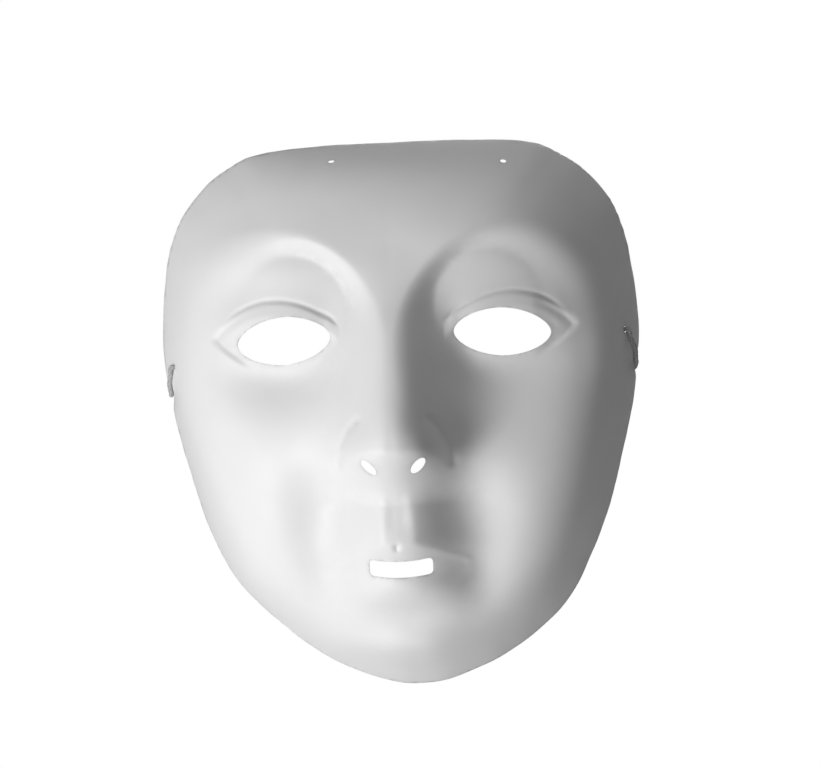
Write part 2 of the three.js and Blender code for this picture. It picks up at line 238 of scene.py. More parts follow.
def near_line(across, z, points, width):
    """1 on a line through these points and falling to 0 about twice the width away from it."""
    nearest = np.full(np.shape(z), 1e3)
    for (x0, z0), (x1, z1) in zip(points, points[1:]):
        dx, dz = x1 - x0, z1 - z0
        t = np.clip(((across - x0) * dx + (z - z0) * dz) / (dx * dx + dz * dz), 0, 1)
        nearest = np.minimum(nearest, np.hypot(across - x0 - t * dx, z - z0 - t * dz))
    return np.exp(-((nearest / width) ** 2))


def closed_curve(points, per_span=24):
    """Points of a smooth closed curve through these points."""
    p = np.array(points, float)
    t = np.arange(per_span)[:, None] / per_span
    spans = []
    for i in range(len(p)):
        a, b, c, d = (p[(i + k) % len(p)] for k in (-1, 0, 1, 2))
        spans.append(0.5 * (2 * b + (c - a) * t + (2 * a - 5 * b + 4 * c - d) * t ** 2
                            + (3 * b - a - 3 * c + d) * t ** 3))
    return np.concatenate(spans)


class Face:
    """The height of the mask's outer face in front of its rim plane."""

    def __init__(self, width, height, pressed=()):
        """pressed lists where the cord has pressed the rim in: side and height."""
        self.half_width, self.half_height = width / 2, height / 2
        self.pressed = pressed
        right = [(x * self.half_width, z * self.half_height) for x, z in HALF_RIM]
        left = [(-x, z) for x, z in right[-2:0:-1]]
        self.rim = closed_curve(right + left)
        angle = np.arctan2(self.rim[:, 0], self.rim[:, 1] - RIM_CENTRE_Z)
        order = np.argsort(angle)
        self.rim_angle = angle[order]
        self.rim_radius = np.hypot(self.rim[:, 0], self.rim[:, 1] - RIM_CENTRE_Z)[order]
        fold = np.array(EYE_FOLD)
        self.fold_x = np.linspace(fold[0, 0], fold[-1, 0], 80)
        self.fold_top = self.through(fold[:, 0], fold[:, 1])
        self.fold_low = self.through(fold[:, 0], fold[:, 2])

    def through(self, x, z):
        """Heights on a smooth line through these points, at each fold_x."""
        slope = np.gradient(z, x)
        i = np.clip(np.searchsorted(x, self.fold_x) - 1, 0, len(x) - 2)
        step = x[i + 1] - x[i]
        t = (self.fold_x - x[i]) / step
        return ((2 * t ** 3 - 3 * t ** 2 + 1) * z[i] + (t ** 3 - 2 * t ** 2 + t) * step * slope[i]
                + (3 * t ** 2 - 2 * t ** 3) * z[i + 1] + (t ** 3 - t ** 2) * step * slope[i + 1])

    def share(self, x, z):
        """How far out a point lies: 0 in the middle of the face and 1 on the rim."""
        lean = CHIN_LEAN * smooth(-LEAN_START, -LEAN_END, -z / self.half_height)
        angle = np.arctan2(x - lean, z - RIM_CENTRE_Z)
        reach = np.hypot(x - lean, z - RIM_CENTRE_Z)
        rim = np.interp(angle, self.rim_angle, self.rim_radius, period=2 * math.pi)
        oval = 1 / np.hypot(np.sin(angle) / self.half_width, np.cos(angle) / self.half_height)
        rim_shape = np.minimum(reach / rim, 1.0) ** 3
        return reach / (oval * (1 - rim_shape) + rim * rim_shape)

    def socket(self, across, z):
        """An oval dish, with a firm edge above and towards the nose, and a soft one opposite."""
        u = (across - SOCKET["x"]) / SOCKET["wide"]
        v = (z - SOCKET["z"]) / SOCKET["tall"]
        reach = np.hypot(u, v)
        firm = np.clip((0.8 * v - 0.6 * u) / np.maximum(reach, 1e-3), -1, 1)
        edge = SOCKET["edge"] + SOCKET["spread"] * (1 - firm) / 2
        return -SOCKET["depth"] * (1 - smooth(1 - edge, 1 + edge, reach))

    def nose(self, across, z):
        """It widens and rises from the bridge to the tip, then falls softly away below it."""
        down = smooth(NOSE["top"], NOSE_TIP_Z, z)
        width = NOSE["bridge_width"] + (NOSE["width"] - NOSE["bridge_width"]) * down
        height = (NOSE["bridge"] * smooth(NOSE["top"] + NOSE["root_above"],
                                          NOSE["top"] - NOSE["root_below"], z)
                  + (NOSE_HEIGHT - NOSE["bridge"]) * down)
        under = smooth(NOSE["bottom"] - NOSE["soft"], NOSE["bottom"] + NOSE["soft"], z)
        return height * under * np.exp(-((across / width) ** 2))

    def eye_fold(self, across, z):
        """The upper lid stands out below its crease, and the outer corner is a shallow dish."""
        top = np.interp(across, self.fold_x, self.fold_top, left=0, right=0)
        low = np.interp(across, self.fold_x, self.fold_low, left=0, right=0)
        below = top - z
        along = smooth(16.5, 21, across) * (1 - smooth(52, 60, across))
        lid = LID_HEIGHT * smooth(-0.5, 1.1, below) * (1 - smooth(4.0, 8.5, below)) * along
        crease = CREASE_DEPTH * np.exp(-((below + 0.1) / CREASE_WIDTH) ** 2) * along
        corner = smooth(47, 55, across) * (1 - smooth(61.6, 63.6, across))
        dish = CORNER_DEPTH * corner * smooth(-0.5, 3.0, below) * smooth(-0.8, 2.2, z - low)
        return lid - crease - dish

    def relief(self, x, z):
        """Height of the outer face. Outside the rim it keeps falling steadily."""
        across = np.sqrt(x * x + 0.25) - 0.5  # |x|, rounded at the middle line
        s = self.share(x, z)
        inner = np.minimum(s, 1.0)
        dome = FACE_DEPTH * ((1 - DOME_ROUND) * (1 - inner ** DOME_POWER)
                             + DOME_ROUND * (1 - inner ** 2))
        edge_slope = FACE_DEPTH * ((1 - DOME_ROUND) * DOME_POWER + 2 * DOME_ROUND)
        dome = dome - edge_slope * np.maximum(s - 1.0, 0.0)
        features = sum(swelling(across, z, shape) for shape in SWELLINGS.values())
        features = features + self.socket(across, z) + self.nose(across, z)
        features = features + self.eye_fold(across, z) + swelling(x, z, DIMPLE)
        for depth, width, points in LINES.values():
            features = features + depth * near_line(across, z, points, width)
        for side, height in self.pressed:
            near = np.exp(-(((z - height) / PRESS_REACH) ** 2)) * smooth(PRESS_START, 1.0, s)
            dome = dome - PRESS_DEPTH * near * (x * side > 0)
        return dome + features * (1 - smooth(FADE_START, 1.0, s))

    def outward(self, x, z, step=0.2):
        """Directions straight out of the face."""
        slope_x = (self.relief(x + step, z) - self.relief(x - step, z)) / (2 * step)
        slope_z = (self.relief(x, z + step) - self.relief(x, z - step)) / (2 * step)
        normal = np.stack([-slope_x, -np.ones_like(slope_x), -slope_z], axis=-1)
        return normal / np.linalg.norm(normal, axis=-1, keepdims=True)

    def point(self, x, z, off=0.0):
        """Point on the outer face, or that far off it, in millimetres."""
        x, z = np.asarray(x, float), np.asarray(z, float)
        base = np.stack([x, -self.relief(x, z), z], axis=-1)
        return base + self.outward(x, z) * off

    def flank_x(self, side, z, depth):
        """How far to the side the outer face lies at this height and depth."""
        near, far = 0.6 * self.half_width, 1.1 * self.half_width
        for _ in range(40):
            middle = (near + far) / 2
            if self.relief(np.array(side * middle), np.array(float(z))) > depth:
                near = middle
            else:
                far = middle
        return side * (near + far) / 2

    def rim_top_z(self, x):
        """Height of the rim above the forehead."""
        near, far = 0.0, 2.0 * self.half_height
        for _ in range(40):
            middle = (near + far) / 2
            if self.relief(np.array(float(x)), np.array(middle)) > 0:
                near = middle
            else:
                far = middle
        return (near + far) / 2


def round_outline(side, shape, count=96):
    """Closed outline of an eye opening or a nostril, on the side of the given sign."""
    t = np.linspace(0, 2 * math.pi, count, endpoint=False)
    power = 2 / shape["power"]
    u = np.sign(np.cos(t)) * np.abs(np.cos(t)) ** power * shape["long"] / 2
    v = np.sign(np.sin(t)) * np.abs(np.sin(t)) ** power * shape["open"] / 2
    turn = math.radians(shape["tilt"])
    x = shape["x"] + u * math.cos(turn) - v * math.sin(turn)
    z = shape["z"] + u * math.sin(turn) + v * math.cos(turn)
    return np.stack([side * x, z], axis=-1)


def mouth_outline():
    half, high, r = MOUTH["long"] / 2, MOUTH["open"] / 2, MOUTH["corner"]
    corner = np.linspace(0, math.pi / 2, 8)
    points = []
    for cx, cz, start in ((half - r, high - r, 0), (r - half, high - r, 1),
                          (r - half, r - high, 2), (half - r, r - high, 3)):
        angle = corner + start * math.pi / 2
        points.append(np.stack([cx + r * np.cos(angle), cz + r * np.sin(angle)], axis=-1))
        if start in (0, 2):
            along = np.linspace(cx, -cx, 24)[1:-1]
            points.append(np.stack([along, np.full_like(along, high if start == 0 else -high)], -1))
    outline = np.concatenate(points)
    outline[:, 1] += MOUTH["z"] - MOUTH["sag"] * (1 - (outline[:, 0] / half) ** 2)
    return outline


# ---- Mesh helpers ----

def coordinates(verts):
    return np.array([v.co for v in verts], float).reshape(-1, 3)


def nearest_on_outline(points, outline):
    """Nearest points of a closed outline, and how far they are."""
    start, span = outline, np.roll(outline, -1, axis=0) - outline
    offset = points[:, None, :] - start[None, :, :]
    t = np.clip((offset * span).sum(-1) / (span * span).sum(-1), 0, 1)
    foot = start[None, :, :] + t[..., None] * span[None, :, :]
    distance = np.linalg.norm(points[:, None, :] - foot, axis=-1)
    best = distance.argmin(1)
    rows = np.arange(len(points))
    return foot[rows, best], distance[rows, best]


def inside_outline(points, outline):
    """Which points lie within a closed outline."""
    a, b = outline, np.roll(outline, -1, axis=0)
    x, z = points[:, 0:1], points[:, 1:2]
    crosses = (a[None, :, 1] > z) != (b[None, :, 1] > z)
    rise = np.where(b[:, 1] == a[:, 1], 1e-9, b[:, 1] - a[:, 1])
    at = a[None, :, 0] + (z - a[None, :, 1]) * (b[:, 0] - a[:, 0])[None, :] / rise[None, :]
    return (crosses & (x < at)).sum(1) % 2 == 1


def new_object(name, bm):
    mesh = bpy.data.meshes.new(name)
    bm.to_mesh(mesh)
    bm.free()
    mesh.shade_smooth()
    obj = bpy.data.objects.new(name, mesh)
    bpy.context.scene.collection.objects.link(obj)
    return obj


def set_attribute(obj, name, values):
    attribute = obj.data.attributes.new(name, "FLOAT", "POINT")
    attribute.data.foreach_set("value", np.asarray(values, np.float32))


# ---- Formed shell ----

def cord_hole_outlines(face):
    """Round holes drilled square to the sheet, as their outlines seen from the front."""
    places = [(face.flank_x(h["side"], h["z"], 0.0) - h["side"] * h["inset"], h["z"],
               SIDE_HOLE_SIZE) for h in SIDE_HOLES]
    places += [(h["x"], face.rim_top_z(h["x"]) - h["inset"], TOP_HOLE_SIZE) for h in TOP_HOLES]
    turn = np.linspace(0, 2 * math.pi, 32, endpoint=False)
    outlines = []
    for x, z, size in places:
        normal = Vector(face.outward(np.array(float(x)), np.array(float(z))))
        up = normal.orthogonal().normalized()
        side = normal.cross(up)
        ring = [up * math.cos(t) * size / 2 + side * math.sin(t) * size / 2 for t in turn]
        outlines.append(np.array([(x + p.x, z + p.z) for p in ring]))
    return outlines


def openings(face):
    """Outlines of everything cut through the sheet, seen from the front."""
    shapes = [mouth_outline()]
    for side in (-1, 1):
        shapes.append(round_outline(side, EYE))
        shapes.append(round_outline(side, NOSTRIL, count=48))
    return shapes + cord_hole_outlines(face)


# Mesh lines lie closer together towards the middle of the face. Lengths are in millimetres.
MIDDLE_SHARE = 0.75
ROW_MIDDLE = -10.0  # height that the rows crowd towards
SHEET_MARGIN = 1.04  # share that the sheet reaches to before it is trimmed at the rim
NOSTRIL_FINE = 6.0  # the mesh is split finer this near to the middle of an opening
EYE_FINE = 24.0
EYE_FINE_RISE = 2  # how far above the middle of the eye its finer mesh is centred
HOLE_FINE = 5.0
HOLE_FINER = 3.6
SNAP_REACH = 1.6  # mesh this near to an outline moves onto it
EASE_REACH = 3.5  # mesh this near to an outline is evened out
EASE_ROUNDS = 10
SHARP_EDGE = math.radians(50)
EDGE_SHADE_FADE = 0.45  # distance over which the painted shade and wear fade from a cut edge
HOLLOW_REACH = 3.0  # distance to the surroundings that a point is compared with
FULL_HOLLOW = 0.8  # depth that counts as wholly hollow
HOLLOW_END = 0.95  # share past which nothing counts as hollow


def spread_lines(bm, face):
    """The flat grid's lines take their places across and up the face, in millimetres."""
    reach_x = face.half_width * SHEET_MARGIN
    for v in bm.verts:
        u, w = v.co.x, v.co.y
        x = reach_x * (MIDDLE_SHARE * u + (1 - MIDDLE_SHARE) * u ** 3)
        reach_z = face.half_height * SHEET_MARGIN - math.copysign(1.0, w) * ROW_MIDDLE
        middle = MIDDLE_SHARE * face.half_height
        z = ROW_MIDDLE + middle * w + (reach_z - middle) * w ** 3
        v.co = Vector((x, 0.0, z))


def refine(bm, centre, reach):
    """Splits the edges within reach of a point, for finer detail there."""
    edges = [e for e in bm.edges
             if all(math.hypot(v.co.x - centre[0], v.co.z - centre[1]) < reach for v in e.verts)]
    bmesh.ops.subdivide_edges(bm, edges=edges, cuts=1, use_grid_fill=True)


def cut_openings(bm, outlines):
    """Faces inside the openings go, and the mesh round them is fitted to the outlines."""
    for outline in outlines:
        faces = list(bm.faces)
        centre = np.array([f.calc_center_median() for f in faces])[:, (0, 2)]
        gone = inside_outline(centre, outline)
        bmesh.ops.delete(bm, geom=[f for f, g in zip(faces, gone) if g], context="FACES")
        rim = [v for v in bm.verts if v.is_boundary]
        flat = coordinates(rim)[:, (0, 2)]
        foot, distance = nearest_on_outline(flat, outline)
        for v, to, away in zip(rim, foot, distance):
            if away < SNAP_REACH:
                v.co.x, v.co.z = to
    verts = list(bm.verts)
    flat = coordinates(verts)[:, (0, 2)]
    near = np.min([nearest_on_outline(flat, o)[1] for o in outlines], axis=0)
    loose = [v for v, d in zip(verts, near) if d < EASE_REACH and not v.is_boundary]
    for _ in range(EASE_ROUNDS):
        bmesh.ops.smooth_vert(bm, verts=loose, factor=0.5, use_axis_x=True, use_axis_z=True)


def raise_relief(bm, face):
    """The flat sheet takes the face's relief, and goes from millimetres to metres."""
    verts = list(bm.verts)
    co = coordinates(verts)
    height = face.relief(co[:, 0], co[:, 2]) - trim_waver(face, co[:, 0], co[:, 2])
    for v, h in zip(verts, height):
        v.co = Vector((v.co.x, -h, v.co.z)) * MM


def trim_waver(face, x, z):
    """The rim was trimmed by hand, so the edge wanders a little."""
    angle = np.arctan2(x, z - RIM_CENTRE_Z)
    waver = (0.22 * np.sin(7 * angle + 0.6) + 0.16 * np.sin(17 * angle + 2.1)
             + 0.10 * np.sin(41 * angle + 1.3))
    return waver * smooth(0.9, 1.0, face.share(x, z))


def trim_rim(bm):
    """Trims the sheet flat behind the rim, and closes the wall there."""
    geom = bm.verts[:] + bm.edges[:] + bm.faces[:]
    bmesh.ops.bisect_plane(bm, geom=geom, dist=1e-7, plane_co=(0, 0, 0),
                           plane_no=(0, 1, 0), clear_outer=True)
    rim = [e for e in bm.edges if e.is_boundary]
    made = bmesh.ops.bridge_loops(bm, edges=rim)["faces"]
    bm.normal_update()
    bmesh.ops.reverse_faces(bm, faces=[f for f in made if f.normal.y < 0])


def soften_cut_edges(bm, radius):
    bm.normal_update()
    sharp = [e for e in bm.edges
             if len(e.link_faces) == 2 and e.calc_face_angle() > SHARP_EDGE]
    bmesh.ops.bevel(bm, geom=sharp, offset=radius, offset_type="OFFSET", segments=2,
                    profile=0.5, affect="EDGES", clamp_overlap=True, material=-1)


class MASK_OT_form_shell(Operator):
    """Form the plastic shell over the face, punch its openings and trim its rim"""

    bl_idname = "mask.form_shell"
    bl_label = "Form Shell"

    def execute(self, context):
        shape = context.scene.mask_shape
        face = worn_face(context)
        outlines = openings(face)
        bm = bmesh.new()
        bmesh.ops.create_grid(bm, x_segments=shape.columns, y_segments=shape.rows, size=1.0)
        spread_lines(bm, face)
        for side in (-1, 1):
            refine(bm, (side * NOSTRIL["x"], NOSTRIL["z"]), NOSTRIL_FINE)
            refine(bm, (side * EYE["x"], EYE["z"] + EYE_FINE_RISE), EYE_FINE)
        for outline in cord_hole_outlines(face):
            refine(bm, outline.mean(0), HOLE_FINE)
            refine(bm, outline.mean(0), HOLE_FINER)
        verts = list(bm.verts)
        co = coordinates(verts)
        outside = face.share(co[:, 0], co[:, 2]) > SHEET_MARGIN
        bmesh.ops.delete(bm, geom=[v for v, o in zip(verts, outside) if o], context="VERTS")
        cut_openings(bm, outlines)
        raise_relief(bm, face)
        bmesh.ops.solidify(bm, geom=bm.faces[:], thickness=shape.wall)
        trim_rim(bm)
        soften_cut_edges(bm, shape.edge_round)
        shell = new_object("formed_shell", bm)
        mark_shade_and_wear(shell, face, outlines)
        shell.data.materials.append(plastic_material(context.scene.mask_finish))
        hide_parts("mask_shell")
        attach(shell, "shell")
        return {"FINISHED"}


def mark_shade_and_wear(shell, face, outlines):
    """Attributes for the material's painted shade and wear: nearness to a cut edge, and how hollow
    the surface is.
    """
    co = np.empty(len(shell.data.vertices) * 3)
    shell.data.vertices.foreach_get("co", co)
    co = co.reshape(-1, 3) / MM
    flat = co[:, (0, 2)]
    away = np.min([nearest_on_outline(flat, outline)[1] for outline in outlines], axis=0)
    away = np.minimum(away, np.abs(co[:, 1]))
    set_attribute(shell, "cut_edge", np.exp(-away / EDGE_SHADE_FADE))
    x, z = flat[:, 0], flat[:, 1]
    around = (face.relief(x + HOLLOW_REACH, z) + face.relief(x - HOLLOW_REACH, z)
              + face.relief(x, z + HOLLOW_REACH) + face.relief(x, z - HOLLOW_REACH))
    hollow = (around / 4 - face.relief(x, z)) * (face.share(x, z) < HOLLOW_END)
    set_attribute(shell, "hollow", np.clip(hollow / FULL_HOLLOW, 0, 1))


# ---- Materials ----

def socket(group, name, kind, default=None, out=False):
    made = group.interface.new_socket(
        name=name, in_out="OUTPUT" if out else "INPUT", socket_type=kind)
    if default is not None:
        made.default_value = default
    return made


def node_group(name, inputs, outputs):
    """A new shader node group, with its input and output nodes."""
    group = bpy.data.node_groups.new(name, "ShaderNodeTree")
    for label, kind, default in inputs:
        socket(group, label, kind, default)
    for label, kind in outputs:
        socket(group, label, kind, out=True)
    return group, group.nodes.new("NodeGroupInput"), group.nodes.new("NodeGroupOutput")


def math_node(tree, operation, *values, clamp=False):
    node = tree.nodes.new("ShaderNodeMath")
    node.operation = operation
    node.use_clamp = clamp
    for i, value in enumerate(values):
        if isinstance(value, (int, float)):
            node.inputs[i].default_value = value
        else:
            tree.links.new(value, node.inputs[i])
    return node.outputs[0]


def noise_node(tree, vector, scale, detail=2.0, roughness=0.5):
    node = tree.nodes.new("ShaderNodeTexNoise")
    node.inputs["Detail"].default_value = detail
    node.inputs["Roughness"].default_value = roughness
    tree.links.new(vector, node.inputs["Vector"])
    if isinstance(scale, (int, float)):
        node.inputs["Scale"].default_value = scale
    else:
        tree.links.new(scale, node.inputs["Scale"])
    return node.outputs["Fac"]


def ramp(tree, value, low, high):
    node = tree.nodes.new("ShaderNodeMapRange")
    node.interpolation_type = "SMOOTHSTEP"
    node.inputs["From Min"].default_value = low
    node.inputs["From Max"].default_value = high
    tree.links.new(value, node.inputs["Value"])
    return node.outputs["Result"]


def grain_group():
    """Fine surface grain: a height for bump, and a slow mottle."""
    found = bpy.data.node_groups.get("Surface Grain")
    if found:
        return found
    group, given, result = node_group(
        "Surface Grain",
        [("Vector", "NodeSocketVector", None), ("Grain Scale", "NodeSocketFloat", 1800.0),
         ("Mottle Scale", "NodeSocketFloat", 60.0)],
        [("Height", "NodeSocketFloat"), ("Mottle", "NodeSocketFloat")])
    vector = given.outputs["Vector"]
    fine = noise_node(group, vector, given.outputs["Grain Scale"], 3.0, 0.6)
    slow = noise_node(group, vector, given.outputs["Mottle Scale"], 4.0, 0.55)
    height = math_node(group, "ADD", fine, math_node(group, "MULTIPLY", slow, 1.5))
    group.links.new(height, result.inputs["Height"])
    group.links.new(slow, result.inputs["Mottle"])
    return group


def shade_and_grime_group():
    """Where painted shade and grime go: a mask broken up by noise, from how likely it is there."""
    found = bpy.data.node_groups.get("Painted Shade And Grime")
    if found:
        return found
    group, given, result = node_group(
        "Painted Shade And Grime",
        [("Vector", "NodeSocketVector", None), ("Likely", "NodeSocketFloat", 0.5),
         ("Scale", "NodeSocketFloat", 200.0)],
        [("Mask", "NodeSocketFloat")])
    patches = noise_node(group, given.outputs["Vector"], given.outputs["Scale"], 5.0, 0.65)
    broken = ramp(group, patches, 0.32, 0.72)
    mask = math_node(group, "MULTIPLY", broken, given.outputs["Likely"], clamp=True)
    group.links.new(mask, result.inputs["Mask"])
    return group


def scratch_group():
    """Short hairline scuffs in two directions."""
    found = bpy.data.node_groups.get("Hairline Scuffs")
    if found:
        return found
    group, given, result = node_group(
        "Hairline Scuffs", [("Vector", "NodeSocketVector", None)],
        [("Mask", "NodeSocketFloat")])
    masks = []
    for turn, stretch in ((0.5, (90.0, 90.0, 2600.0)), (-1.1, (2200.0, 80.0, 110.0))):
        mapping = group.nodes.new("ShaderNodeMapping")
        mapping.inputs["Rotation"].default_value = (0.2, turn, 0.3)
        mapping.inputs["Scale"].default_value = stretch
        group.links.new(given.outputs["Vector"], mapping.inputs["Vector"])
        lines = noise_node(group, mapping.outputs["Vector"], 1.0, 1.0, 0.4)
        masks.append(ramp(group, lines, 0.70, 0.76))
    where = ramp(group, noise_node(group, given.outputs["Vector"], 45.0, 2.0), 0.5, 0.62)
    both = math_node(group, "MAXIMUM", masks[0], masks[1])
    group.links.new(math_node(group, "MULTIPLY", both, where), result.inputs["Mask"])
    return group


class Surface:
    """A material being wired: its Principled shader, its coordinates, and shorthand for groups."""

    def __init__(self, name):
        self.material = bpy.data.materials.new(name)
        self.material.use_nodes = True
        self.tree = self.material.node_tree
        self.shader = next(n for n in self.tree.nodes if n.type == "BSDF_PRINCIPLED")
        self.place = self.tree.nodes.new("ShaderNodeTexCoord").outputs["Object"]

    def group(self, group, **inputs):
        node = self.tree.nodes.new("ShaderNodeGroup")
        node.node_tree = group
        for label, value in inputs.items():
            into = node.inputs[label.replace("_", " ").title()]
            if isinstance(value, (int, float)):
                into.default_value = value
            else:
                self.tree.links.new(value, into)
        return node.outputs

    def math(self, operation, *values, clamp=False):
        return math_node(self.tree, operation, *values, clamp=clamp)

    def attribute(self, name):
        node = self.tree.nodes.new("ShaderNodeAttribute")
        node.attribute_name = name
        return node.outputs["Fac"]

    def mix(self, factor, a, b):
        node = self.tree.nodes.new("ShaderNodeMix")
        node.data_type = "RGBA"
        self.feed(factor, node.inputs["Factor"])
        self.feed(a, node.inputs["A"])
        self.feed(b, node.inputs["B"])
        return node.outputs["Result"]

    def feed(self, value, into):
        if isinstance(value, bpy.types.NodeSocket):
            self.tree.links.new(value, into)
        elif hasattr(value, "__len__"):
            into.default_value = (*value, 1.0)
        else:
            into.default_value = value

    def bump(self, height, strength, distance, below=None):
        node = self.tree.nodes.new("ShaderNodeBump")
        node.inputs["Strength"].default_value = strength
        node.inputs["Distance"].default_value = distance
        self.tree.links.new(height, node.inputs["Height"])
        if below is not None:
            self.tree.links.new(below, node.inputs["Normal"])
        return node.outputs["Normal"]


def scaled(colour, factor):
    return tuple(min(c * factor, 1.0) for c in colour)


def plastic_material(finish):
    s = Surface("matte_white_plastic")
    m = s.math
    grain = s.group(grain_group(), vector=s.place, grain_scale=1500.0, mottle_scale=70.0)
    scuffs = s.group(scratch_group(), vector=s.place)["Mask"]
    edge = s.attribute("cut_edge")
    hollow = s.attribute("hollow")
    # Painted shade: the cut edges and, more weakly, the hollows are darkened in patches towards the
    # soil colour, partly as grime.
    likely = m("ADD", m("MULTIPLY", edge, 0.9), m("MULTIPLY", hollow, 0.2), clamp=True)
    shade_and_grime = s.group(shade_and_grime_group(), vector=s.place, likely=likely, scale=260.0)["Mask"]
    tone = s.mix(grain["Mottle"], scaled(finish.colour, 0.965), scaled(finish.colour, 1.025))
    tone = s.mix(m("MULTIPLY", scuffs, 0.12), tone, scaled(finish.colour, 1.1))
    tone = s.mix(m("MULTIPLY", shade_and_grime, 0.6), tone, tuple(finish.shade_and_soil))
    s.feed(tone, s.shader.inputs["Base Color"])
    rough = m("ADD", finish.roughness - 0.05, m("MULTIPLY", grain["Mottle"], 0.1))
    rough = m("ADD", rough, m("MULTIPLY", scuffs, 0.14))
    rough = m("ADD", rough, m("MULTIPLY", shade_and_grime, 0.2), clamp=True)
    s.feed(rough, s.shader.inputs["Roughness"])
    s.shader.inputs["IOR"].default_value = 1.46
    peel = s.bump(grain["Height"], 0.35, 0.00004)
    s.feed(s.bump(scuffs, 0.25, 0.00003, below=peel), s.shader.inputs["Normal"])
    return s.material


def cord_material(settings):
    s = Surface("braided_elastic")
    m = s.math
    grain = s.group(grain_group(), vector=s.place, grain_scale=6000.0, mottle_scale=400.0)
    crown = s.attribute("braid")
    # Painted shade and grime: a darker colour laid in patches between the strands.
    likely = m("SUBTRACT", 1.0, crown, clamp=True)
    shade_and_grime = s.group(shade_and_grime_group(), vector=s.place, likely=likely, scale=900.0)["Mask"]
    # Painted shade: the braid is coloured darker between its strands and lighter on their crowns.
    tone = s.mix(crown, scaled(settings.colour, 0.62), scaled(settings.colour, 1.08))
    tone = s.mix(m("MULTIPLY", grain["Mottle"], 0.25), tone, scaled(settings.colour, 0.8))
    tone = s.mix(m("MULTIPLY", shade_and_grime, 0.5), tone, scaled(settings.colour, 0.45))
    s.feed(tone, s.shader.inputs["Base Color"])
    s.feed(m("ADD", 0.72, m("MULTIPLY", grain["Mottle"], 0.2), clamp=True),
           s.shader.inputs["Roughness"])
    s.shader.inputs["Sheen Weight"].default_value = 0.25
    s.shader.inputs["Sheen Roughness"].default_value = 0.5
    s.feed(s.bump(grain["Height"], 0.4, 0.00003), s.shader.inputs["Normal"])
    return s.material


# ---- Elastic cord ----

# Lengths are in millimetres, except in STRAP_ROUTE.
KNOT_Y = 1.5
KNOT_Z = 12.0
KNOT_INSET = 4.3
KNOT_REACH = 2.55  # middle of a knot to where its cords begin
KNOT_DIAMETER = 4.4
KNOT_RING = 0.95
KNOT_WEAVE = 0.6
KNOT_TAIL = 5.4
TAIL_START = 2.6
STRAP_BURIED = 1.5  # middle of a knot to the hidden end of the strap
CLEARANCE = 0.35
TIE_GAP = 0.03  # the tied cord lies on the plastic
TIE_LEAD = 0.8  # the tied cord runs straight this far from its knot
TIE_TURN = 0.8  # how far off the inside of the wall the tied cord turns
WALL = 1.0
BRAID_PITCH = 2.0  # diameters along the cord for a strand to cross to its neighbour's place
BRAID_RELIEF = 0.07  # share of the diameter that the strands stand out by

SIDE_HOLES = [
    {"name": "left", "side": -1, "inset": 4.9, "z": 19.7, "crossing": 9.8},
    {"name": "right", "side": 1, "inset": 5.2, "z": 26.0, "crossing": 14.4},
]
SIDE_HOLE_SIZE = 2.2
TOP_HOLES = [{"x": -20.5, "inset": 7.1}, {"x": 39.8, "inset": 9.0}]
TOP_HOLE_SIZE = 2.2

# Right half of the free elastic, in metres: x from the middle line, z from its upper ends.
STRAP_ROUTE = [
    (0.0786, 0.0), (0.0771, -0.0045), (0.0754, -0.0096), (0.0729, -0.0167),
    (0.0696, -0.0254), (0.0654, -0.0354), (0.0603, -0.046), (0.0548, -0.0561),
    (0.0487, -0.0656), (0.0422, -0.0741), (0.0352, -0.0815), (0.0281, -0.0872),
    (0.0211, -0.0916), (0.014, -0.0947), (0.007, -0.0965), (0.0, -0.0971),
]


def open_curve(points, step):
    """A smooth line through these points, with a point every step."""
    p = np.array(points, float)
    ends = np.vstack([2 * p[0] - p[1], p, 2 * p[-1] - p[-2]])
    knots = np.concatenate([[0], np.cumsum(np.sqrt(np.linalg.norm(np.diff(ends, axis=0), axis=1)))])
    fine = []
    for i in range(1, len(ends) - 2):
        t = np.linspace(knots[i], knots[i + 1], 24, endpoint=False)[:, None]
        k, e = knots[i - 1:i + 3], ends[i - 1:i + 3]
        a = [((k[j + 1] - t) * e[j] + (t - k[j]) * e[j + 1]) / (k[j + 1] - k[j]) for j in range(3)]
        b = [((k[j + 2] - t) * a[j] + (t - k[j]) * a[j + 1]) / (k[j + 2] - k[j]) for j in range(2)]
        fine.append(((k[2] - t) * b[0] + (t - k[1]) * b[1]) / (k[2] - k[1]))
    fine = np.vstack([*fine, p[-1:]])
    along = np.concatenate([[0], np.cumsum(np.linalg.norm(np.diff(fine, axis=0), axis=1))])
    count = max(2, round(along[-1] / step))
    places = np.linspace(0, along[-1], count + 1)
    return np.stack([np.interp(places, along, fine[:, i]) for i in range(3)], axis=-1)


def braid_height(turn, along, diameter, strands):
    """0 between the strands of the braided cover and 1 on their crowns."""
    wind = 2 * math.pi * along / (BRAID_PITCH * diameter)
    right = np.cos(strands * turn + wind)
    left = np.cos(strands * turn - wind)
    return np.clip(0.5 + 0.5 * np.maximum(right, left), 0, 1)


def carried_frames(line):
    """Two directions square to the line at each of its points, with no twist along it."""
    tangent = [Vector(t).normalized() for t in np.gradient(line, axis=0)]
    first = tangent[0].orthogonal().normalized()
    frames = []
    for before, now in zip([tangent[0], *tangent], tangent):
        first = before.rotation_difference(now) @ first
        frames.append((first, now.cross(first)))
    return np.array(frames)


